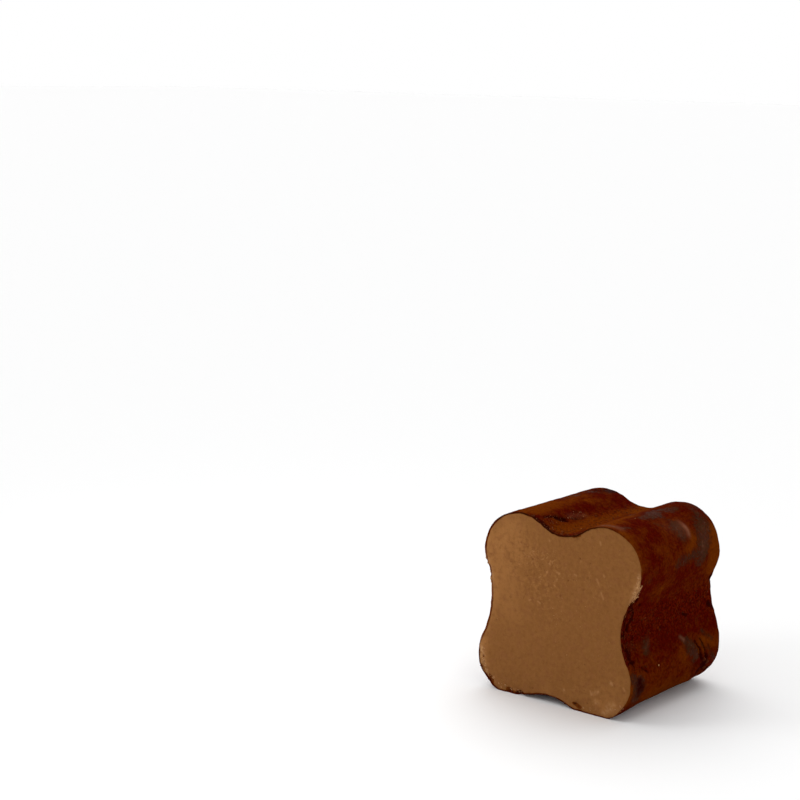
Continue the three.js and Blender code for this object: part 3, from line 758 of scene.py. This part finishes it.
face = {
    "steps": [(114, 66)] * 4,
    "rings": 112,
    "edgeRings": 9,  # of them, those that lie closer together at the edge
    "edgeShare": 0.95,
    "back": 0.05,  # the cream lies this far behind the coat's edge
    "leastBack": 0.012,
    "underRim": 0.6,  # how far into the coat's thickness the cream reaches from inside
    "foot": 0.03,
    "sideRows": [2.0, 8.0, 14.0, 19.0],
    "sideDepth": 0.45,
    "sideFoot": 0.36,
    "rounding": 0.05,
    "pitReach": 0.11,
    "pitDepth": 0.16,
    "fleckReach": 0.11,
    "fleckHeight": 0.04,
    "fleckedAllOver": 0.12,
    # unevenness and drag marks, then crumbling, cocoa dust and pale crumbs: height, size, seed, octaves
    "ground": [(0.035, 3.0, 71, 2), (0.014, (0.5, 1, 2.2), 73, 1), (0.012, 0.4, 75, 2)],
    "crumbled": (0.13, 0.55, 77, 2),
    "crumbledDepth": 0.04,
    "dustNoise": (0.6, 0.45, 79, 3),
    "paleCrumbs": (1.0, 0.7, 81, 2),
    # pits: x, z
    "pits": [
        (-9.36, 19.3), (-10.8, 18.25), (-6.53, 20.58), (-5.1, 20.2), (-4.28, 18.74), (4.1, 17.8),
        (4.33, 19.74), (1.23, 16.91), (0.14, 14.65), (3.54, 16.12), (2.85, 20.1), (-11.65, 4.04),
        (-3.63, 1.42), (-9.7, 9.5), (-5.0, 16.4), (-7.5, 13.0), (4.7, 1.3),
    ],
    # pale flecks that stand up a little: from (x, z), to (x, z)
    "flecks": [
        ((5.4, 17.9), (5.7, 17.4)), ((5.7, 22.8), (5.8, 22.4)), ((6.1, 16.3), (6.5, 15.5)),
        ((2.1, 17.9), (2.4, 17.8)), ((-0.6, 17.7), (-0.1, 17.6)), ((6.4, 18.6), (6.5, 18.4)),
        ((-2.1, 17.4), (-1.9, 17.5)), ((-4.9, 19), (-4.8, 19)), ((-1.8, 21.7), (-1.8, 21.6)),
        ((5.3, 2.6), (5.1, 3.1)), ((6.1, 3), (6.3, 3.3)), ((5.9, 1.6), (6, 1.9)),
        ((8.1, 4.9), (8.3, 4.6)), ((1.2, 2.3), (1.2, 2.4)), ((-4.6, 13.2), (-4.4, 13.3)),
        ((-2.9, 13.1), (-3.3, 13.3)), ((9.9, 4.6), (10.1, 4.3)), ((7.9, 1.2), (7.5, 1.6)),
        ((6.9, 0.5), (7.1, 0.9)), ((8.5, 2.2), (8.7, 2)),
    ],
    # where flakes of nut show most: from, to, reach, strength
    "flecked": [
        ((-6, 0, 18.8), (-2, 0, 17.4), 2.8, 0.9), ((-4, 0, 15), (-2, 0, 12), 2.2, 0.35),
        ((4.5, 0, 2.6), (8, 0, 2), 2, 0.4), ((4, 0, 18.5), (6, 0, 17), 2, 0.3),
    ],
    # pale cream smeared along the edge: from, to, reach, strength
    "smeared": [
        ((11.45, 0, 19.2), (11.45, 0, 18.1), 0.3, 0.45), ((11.3, 0, 17.8), (10.9, 0, 16.7), 0.4, 0.75),
        ((10.7, 0, 16.5), (10.4, 0, 16), 0.25, 0.6), ((-11.7, 0, 17.6), (-10.9, 0, 15.3), 0.4, 0.8),
        ((-10.9, 0, 15.3), (-10.5, 0, 13.2), 0.3, 0.5), ((-12, 0, 5.4), (-11.7, 0, 3.4), 0.35, 0.7),
        ((-11.2, 0, 1.9), (-10.8, 0, 1.4), 0.2, 0.7), ((7.3, 0, 0.7), (8.2, 0, 1.4), 0.35, 0.35),
        ((8.1, 0, 4.8), (8.1, 0, 4.8), 0.28, 0.25), ((6.2, 0, 3.3), (5.4, 0, 2.8), 0.3, 0.2),
        ((6, 0, 2), (6.2, 0, 1.7), 0.3, 0.22), ((1.1, 0, 2.3), (1.2, 0, 2.2), 0.2, 0.22),
        ((7.9, 0, 1.9), (8.6, 0, 2.1), 0.35, 0.2), ((5.1, 0, 7.9), (5.1, 0, 7.8), 0.2, 0.12),
    ],
    # painted light: lighter cream towards the upper left and the left edge, where the near lamp falls, and
    # along the bottom, against the shade by the table; pale cream by the crumbs at the right: from, to,
    # reach, strength
    "palerAndLit": [
        ((-9.5, 0, 20.5), (-10.5, 0, 14), 5.5, 0.72), ((-11.5, 0, 20), (-10.7, 0, 14), 0.9, 0.3),
        ((-10.7, 0, 12), (-11.9, 0, 6), 0.8, 0.35), ((-11.9, 0, 6), (-11.4, 0, 3.2), 0.8, 0.7),
        ((-1, 0, 1), (9, 0, 2.5), 3.5, 0.3), ((6.6, 0, 1.4), (8.4, 0, 1.6), 1.2, 0.35),
        ((9.6, 0, 16.4), (11, 0, 18.4), 1.2, 0.3),
    ],
    # cocoa smeared into the edge: from, to, reach, strength
    "dusted": [
        ((-11.6, 0, 4.1), (-11.55, 0, 4), 0.17, 1.7), ((-10.6, 0, 1.5), (-10.1, 0, 0.8), 0.42, 1),
        ((-11.2, 0, 2.9), (-11, 0, 2.3), 0.3, 0.4), ((-7.5, 0, 0.45), (-6.9, 0, 0.2), 0.38, 1.5),
        ((-6.8, 0, 0.1), (-5.9, 0, 0.2), 0.22, 1), ((-5.9, 0, 0.3), (-5.4, 0, 0.2), 0.36, 2.1),
        ((2.65, 0, 0.95), (2.75, 0, 0.95), 0.22, 2.4), ((2.9, 0, 0.85), (3.5, 0, 0.6), 0.34, 1.4),
        ((10.6, 0, 16), (10.2, 0, 15.2), 0.3, 0.9), ((1.7, 0, 22.8), (2.6, 0, 23.1), 0.25, 1),
    ],
}


def cutFace(ring):
    # Rings from the middle out to the edge of the cut. Each point lies back by a low swell, drag marks
    # drawn out along z, pits, and the chips and crumbling at the edge, and forward by flecks.
    middle = ring.mean(0)
    share = np.linspace(0, face["edgeShare"], face["rings"] - face["edgeRings"] + 1)[1:]
    share = np.concatenate([share, np.linspace(face["edgeShare"], 1, face["edgeRings"] + 1)[1:]])
    flat = middle + (ring - middle) * share[:, None, None]
    toEdge = (1 - share)[:, None] * np.linalg.norm(ring - middle, axis=-1)
    back = face["back"] + chippedBack(flat) + sum(layered(layer, flat) for layer in face["ground"])
    crumbly = np.clip(raisedBy(bar["crumbly"], flat), 0, 1) * smooth(1.4, 0.1, toEdge)
    crumbled = crumbly * (face["crumbledDepth"] + layered(face["crumbled"], flat))
    back += crumbled + face["rounding"] * smooth(0.3, 0.0, toEdge)
    pits = raisedBy([((x, 0, z), (x, 0, z), face["pitReach"], 1.0) for x, z in face["pits"]], flat)
    flecks = [((ax, 0, az), (bx, 0, bz), face["fleckReach"], 1.0) for (ax, az), (bx, bz) in face["flecks"]]
    flecks = raisedBy(flecks, flat)
    back += face["pitDepth"] * pits - face["fleckHeight"] * np.clip(flecks, 0, 1)
    flat[..., 1] = np.maximum(back, face["leastBack"])
    dusted = raisedBy(face["dusted"], flat * (1, 0, 1)) * (1 + layered(face["dustNoise"], flat))
    dusted = (smooth(0.3, 0.9, dusted) + 0.6 * smooth(1.3, 1.8, dusted)) * smooth(1.1, 0.7, toEdge)
    paleCrumbs = crumbly * smooth(-0.5, 0.5, layered(face["paleCrumbs"], flat))
    return flat, {
        "pale": np.clip(0.6 * flecks + 0.5 * paleCrumbs, 0, 0.85),
        "smeared": np.clip(raisedBy(face["smeared"], flat * (1, 0, 1)), 0, 0.8),
        "dusted": dusted + 0.6 * smooth(0.4, 0.9, pits),
        "flecked": np.clip(raisedBy(face["flecked"], flat) + face["fleckedAllOver"], 0, 1),
        "palerAndLit": raisedBy(face["palerAndLit"], flat),
    }


def makeFilling():
    # The cut face, and behind it the plain sides that the coat covers.
    rim, rimOut = walls(np.zeros(1), 0.0, face["steps"], 1)
    ring = rim[0] - face["underRim"] * rimThickness(rim[0]) * rimOut[0] - coat["inset"] * rimOut[0]
    ring[:, 2] = np.maximum(ring[:, 2], face["foot"])
    front, masks = cutFace(ring)
    sides, _ = walls(face["sideRows"], face["sideDepth"], face["steps"], bar["innerEdgeRows"])
    sides[..., 2] = np.maximum(sides[..., 2], face["sideFoot"])
    rings = np.concatenate([front, sides, farEnd(sides[-1], bar["innerShares"])])
    plainRings = np.zeros(rings.shape[:2])[len(front):]
    masks = {key: np.concatenate([mask, plainRings]) for key, mask in masks.items()}
    ringPiece("filling_cream", rings, masks, creamMaterial(), "filling")
    return front


coatSkin = makeCoat()
coatPoints = coatSkin[0]
facePoints = makeFilling()

lump = {
    "dents": (0.7, 1.25),  # how far each corner is pushed in or out
    "stretches": (0.65, 1.35),  # how much longer or shorter a grain gets along each axis
    "shift": 0.05,
    "favourSmall": 2.2,  # above 1, small ones are more common
    "clearance": 0.006,
}


def lumps(centres, outs, sizes, seed, flatness):
    # Small irregular grains: the twelve corners of an icosahedron, each pushed in or out at random,
    # flattened towards the surface, turned at random about the way out and set on their places. Those
    # that would stand out of the bar's box are moved back into it whole.
    rng = np.random.default_rng(seed)
    golden = (1 + math.sqrt(5)) / 2
    corners = np.array([(0, a, b * golden) for a in (-1, 1) for b in (-1, 1)], float)
    corners = np.concatenate([np.roll(corners, turn, 1) for turn in range(3)]) / math.hypot(1, golden)
    near = np.linalg.norm(corners[:, None] - corners[None], axis=-1) < 1.1  # an edge is 1.05 long
    trios = [(i, j, k) for i in range(12) for j in range(i) for k in range(j)]
    sides = np.array([trio for trio in trios if near[np.ix_(trio, trio)].all()])
    insideOut = np.linalg.det(corners[sides]) < 0
    sides[insideOut] = sides[insideOut][:, [0, 2, 1]]
    count = len(centres)
    shape = corners[None] * rng.uniform(*lump["dents"], (count, 12, 1))
    shape = shape * rng.uniform(*lump["stretches"], (count, 1, 3))
    shape[..., 2] *= flatness
    side = np.cross(outs, rng.normal(size=(count, 3)))
    side /= np.linalg.norm(side, axis=1, keepdims=True)
    axes = np.stack([side, np.cross(outs, side), outs], 1)
    points = centres[:, None] + np.einsum("nij,njk->nik", shape * sizes[:, None, None], axes)
    points += np.maximum(boxLow + lump["clearance"] - points.min(1), 0)[:, None]
    points -= np.maximum(points.max(1) - boxHigh + lump["clearance"], 0)[:, None]
    faces = sides[None] + 12 * np.arange(count)[:, None, None]
    return points.reshape(-1, 3), faces.reshape(-1, 3).tolist()


def scatter(skin, weights, count, smallest, largest, sink, seed):
    # Random places on a skin, which is its points and their ways out, chosen by weight and shifted a
    # little along it, with random sizes that favour the small ones.
    points, outs = skin
    rng = np.random.default_rng(seed)
    chance = weights.ravel() / weights.sum()
    chosen = rng.choice(len(chance), count, p=chance)
    sizes = smallest * (largest / smallest) ** (rng.random(count) ** lump["favourSmall"])
    out = outs.reshape(-1, 3)[chosen]
    shift = rng.normal(0, lump["shift"], (count, 3))
    shift -= out * (shift * out).sum(1)[:, None]
    return points.reshape(-1, 3)[chosen] + shift + out * (sizes * (1 - sink))[:, None], out, sizes


def setOn(skin, places, sink):
    # Grains of given size at given places, each moved onto the nearest point of a skin.
    points, outs = skin
    flat = points.reshape(-1, 3)
    places = np.array(places, float)
    sizes = places[:, 3]
    nearest = np.array([np.argmin(((flat - place[:3]) ** 2).sum(1)) for place in places])
    out = outs.reshape(-1, 3)[nearest]
    return flat[nearest] + out * (sizes * (1 - sink))[:, None], out, sizes


def lumpPiece(name, slot, kind, *groups):
    # One piece of several groups of grains, each given as places, ways out and sizes.
    centres, outs, sizes = (np.concatenate(parts) for parts in zip(*groups))
    points, faces = lumps(centres, outs, sizes, kind["seed"], kind["flatness"])
    newPiece(name, points, faces, crumbMaterial(*kind["look"]))


grains = {
    # scattered clots: how many, smallest, largest, sink, seed; a sink of 1 buries half of each
    "inHollows": (1400, 0.04, 0.14, 1.15, 91),
    "onTopRim": (45, 0.06, 0.16, 1.0, 90),
    "onTornBand": (60, 0.04, 0.14, 1.0, 92),
    "alongCut": (160, 0.03, 0.07, 0.9, 93),
    "outsideHollows": 0.003,  # the chance of a clot there, against 1 in the hollows
    # clots set at the lower right: x, y, z, size
    "lowerRight": [(11.8, 18.1, 3.9, 0.4), (11.4, 18.4, 3.0, 0.34), (11.9, 17.4, 4.3, 0.26)],
    "lowerRightSink": 1.15,
    # the rim of the top hollow: from, to, reach, strength
    "topRim": [
        ((-4.8, 0.2, 24.3), (-2, 0.3, 22.9), 0.3, 1), ((-2, 0.2, 22.9), (2, 0.2, 22.9), 0.2, 0.6),
    ],
    "seed": 94,
    "flatness": 0.75,
    # the material's name, dark colour, light colour and roughness
    "look": ("looseCocoa", (0.035, 0.003, 0.0005), (0.10, 0.020, 0.0025), 0.9),
}


def makeGrains():
    # Loose clots of cocoa: in the hollows, along the rim of the top hollow, thick on the torn band and
    # along the cut's edge, and three larger ones at the lower right.
    y, z = coatPoints[..., 1], coatPoints[..., 2]
    hollow = acrossHollows(coat["steps"]) * smooth(straight, straight - 1.5, y)
    clearOfTable = smooth(0.3, 0.8, z)
    torn = np.clip(raisedBy(coat["torn"], coatPoints), 0, 1) ** 2
    nearCut = smooth(0.5, 0.1, y) * smooth(0.05, 0.12, y)
    lumpPiece(
        "cocoa_grains", "cocoa_coat", grains,
        scatter(coatSkin, (grains["outsideHollows"] + hollow) * clearOfTable, *grains["inHollows"]),
        scatter(coatSkin, raisedBy(grains["topRim"], coatPoints), *grains["onTopRim"]),
        scatter(coatSkin, torn * clearOfTable, *grains["onTornBand"]),
        scatter(coatSkin, nearCut * clearOfTable, *grains["alongCut"]),
        setOn(coatSkin, grains["lowerRight"], grains["lowerRightSink"]),
    )


crumbs = {
    # single crumbs of cream on the coat: x, y, z, size
    "onCoat": [
        (11.28, 6.3, 6.3, 0.16), (6.5, 7.15, 24.6, 0.1), (0.16, 4.44, 22.7, 0.09),
        (10.4, 4.9, 12.5, 0.05),
    ],
    "onCoatSink": 0.4,
    # scattered crumbs, listed as the clots are
    "astride": (150, 0.1, 0.32, 1.3, 89),
    "atEdge": (260, 0.07, 0.22, 1.3, 96),
    "onFace": (60, 0.03, 0.08, 1.0, 97),
    "astrideBand": 0.12,  # how far behind the cut those astride the rim may lie
    "seed": 98,
    "flatness": 0.5,
    "look": ("creamCrumb", (0.22, 0.095, 0.031), (0.42, 0.21, 0.090), 0.7),
}

dustyCrumbs = {
    # in the top hollow, set: x, y, z, size
    "set": [
        (-3.5, 3.9, 23.9, 0.1), (-2.7, 5.6, 23.5, 0.1), (-3, 7.5, 23.6, 0.1), (-2.85, 8.8, 23.5, 0.11),
        (-2.1, 8.6, 23.1, 0.1), (-2.6, 6.2, 23.4, 0.09), (-2.9, 9.2, 23.5, 0.1), (-3.7, 3.2, 24.1, 0.09),
        (-2.7, 2.3, 23.5, 0.08), (-2.2, 1.2, 23.2, 0.08), (-1.8, 2.4, 23, 0.07), (-0.9, 1.5, 22.6, 0.08),
    ],
    "setSink": 0.9,
    "scattered": (70, 0.04, 0.1, 0.8, 95),
    # where they are scattered: from, to, reach, strength
    "topHollow": [
        ((-3.2, 2, 23.8), (-2.4, 9.5, 23.2), 0.7, 1), ((-4.2, 0.5, 24.3), (-0.5, 0.5, 22.6), 0.6, 0.8),
    ],
    "seed": 99,
    "flatness": 0.75,
    "look": ("dustyCrumb", (0.100, 0.024, 0.006), (0.24, 0.090, 0.042), 0.8),
}


def makeCrumbs():
    # Pale crumbs of cream: astride the rim, dragged to the crumbly edges of the cut, and a few on the
    # coat and on the face.
    edgeRings = np.linspace(0, 1, len(facePoints))[:, None] > 0.9
    crumbly = np.clip(raisedBy(bar["crumbly"], facePoints * (1, 0, 1)), 0, 1) ** 1.5 * edgeRings
    astride = np.clip(raisedBy(face["smeared"], coatPoints * (1, 0, 1)), 0, 1) ** 3
    astride *= coatPoints[..., 1] < crumbs["astrideBand"]
    faceSkin = facePoints, np.broadcast_to((0.0, -1.0, 0.0), facePoints.shape)
    lumpPiece(
        "cream_crumbs", "filling", crumbs,
        setOn(coatSkin, crumbs["onCoat"], crumbs["onCoatSink"]),
        scatter(coatSkin, astride, *crumbs["astride"]),
        scatter(faceSkin, crumbly, *crumbs["atEdge"]),
        scatter(faceSkin, np.ones(facePoints.shape[:2]), *crumbs["onFace"]),
    )


def makeDustyCrumbs():
    # Crumbs of cream dusted with cocoa, fallen into the top hollow.
    topHollow = raisedBy(dustyCrumbs["topHollow"], coatPoints) ** 2
    lumpPiece(
        "dusty_crumbs", "filling", dustyCrumbs,
        setOn(coatSkin, dustyCrumbs["set"], dustyCrumbs["setSink"]),
        scatter(coatSkin, topHollow, *dustyCrumbs["scattered"]),
    )


makeGrains()
makeCrumbs()
makeDustyCrumbs()

studio = {
    "cameraPlace": (118.54, -188.48, 81.1),  # mm, in the bar's own frame
    "yaw": 37.535,
    "pitch": 10.559,
    "roll": 1.029,
    "lens": 81.0,
    "clipStart": 0.005,  # this and the lengths and places below are in metres
    "floorReach": 4.0,
    "floorPaleness": 0.95,
    "floorRoughness": 0.9,
    "floorGloss": 0.1,
    "horizon": 1.0,
    "zenith": 0.55,
    "skyFade": (0.1, 0.6),  # heights between which the sky fades, as shares of straight up
    "lampPlace": (-0.06, -0.06, 0.07),
    "lampTarget": (0.0, 0.0, 0.012),
    "lampSize": 0.04,
    "lampWatts": 0.02,
    "sun": 1.5,
    "sunSpread": 70,  # degrees
    "sunTilt": (-25, -15),
}


def makeCamera():
    # Looks along a yaw from +y and a pitch down, then rolls: right and up turn about the view.
    yaw, pitch, roll = (math.radians(studio[key]) for key in ("yaw", "pitch", "roll"))
    ahead = np.array([-math.sin(yaw) * math.cos(pitch), math.cos(yaw) * math.cos(pitch), -math.sin(pitch)])
    level = np.array([math.cos(yaw), math.sin(yaw), 0.0])
    upright = np.cross(level, ahead)
    right = level * math.cos(roll) + upright * math.sin(roll)
    up = upright * math.cos(roll) - level * math.sin(roll)
    matrix = np.eye(4)
    matrix[:3] = np.stack([right, up, -ahead, (studio["cameraPlace"] + toFrame) / 1000], 1)
    camera = bpy.data.objects.new("camera", bpy.data.cameras.new("camera"))
    camera.data.lens = studio["lens"]
    camera.data.clip_start = studio["clipStart"]
    camera.matrix_world = [list(row) for row in matrix.T]
    scene.collection.objects.link(camera)
    scene.camera = camera


def makeFloor():
    reach = studio["floorReach"]
    corners = [(-reach, -reach, 0), (reach, -reach, 0), (reach, reach, 0), (-reach, reach, 0)]
    mesh = bpy.data.meshes.new("floor")
    mesh.from_pydata(corners, [], [(0, 1, 2, 3)])
    pale = bpy.data.materials.new("paleFloor")
    pale.use_nodes = True
    skin = pale.node_tree.nodes["Principled BSDF"]
    skin.inputs["Base Color"].default_value = (*[studio["floorPaleness"]] * 3, 1)
    skin.inputs["Roughness"].default_value = studio["floorRoughness"]
    skin.inputs["Specular IOR Level"].default_value = studio["floorGloss"]
    mesh.materials.append(pale)
    floorPiece = bpy.data.objects.new("floor", mesh)
    scene.collection.objects.link(floorPiece)


def makeSky():
    # White all round, and lightest at the horizon.
    world = bpy.data.worlds.new("softSky")
    world.use_nodes = True
    scene.world = world
    tree = world.node_tree
    place = tree.nodes.new("ShaderNodeTexCoord")
    split = tree.nodes.new("ShaderNodeSeparateXYZ")
    height = tree.nodes.new("ShaderNodeMapRange")
    heights = (*studio["skyFade"], studio["horizon"], studio["zenith"])
    for key, value in zip(("From Min", "From Max", "To Min", "To Max"), heights):
        height.inputs[key].default_value = value
    tree.links.new(place.outputs["Generated"], split.inputs[0])
    tree.links.new(split.outputs["Z"], height.inputs["Value"])
    tree.links.new(height.outputs[0], tree.nodes["Background"].inputs["Strength"])
    tree.nodes["Background"].inputs["Color"].default_value = (1, 1, 1, 1)


def makeLights():
    # A near soft light at the upper left and a broad one above and behind.
    light = bpy.data.lights.new("softLeft", "AREA")
    light.shape = "DISK"
    light.size = studio["lampSize"]
    light.energy = studio["lampWatts"]
    lamp = bpy.data.objects.new("softLeft", light)
    lamp.location = studio["lampPlace"]
    lamp.rotation_mode = "QUATERNION"
    towards = Vector(np.subtract(studio["lampTarget"], studio["lampPlace"]))
    lamp.rotation_quaternion = towards.to_track_quat("-Z", "Y")
    scene.collection.objects.link(lamp)
    sun = bpy.data.lights.new("softAbove", "SUN")
    sun.energy = studio["sun"]
    sun.angle = math.radians(studio["sunSpread"])
    above = bpy.data.objects.new("softAbove", sun)
    above.rotation_euler = (*(math.radians(angle) for angle in studio["sunTilt"]), 0)
    scene.collection.objects.link(above)


makeCamera()
makeFloor()
makeSky()
makeLights()
print("camera, floor, sky and lights set")
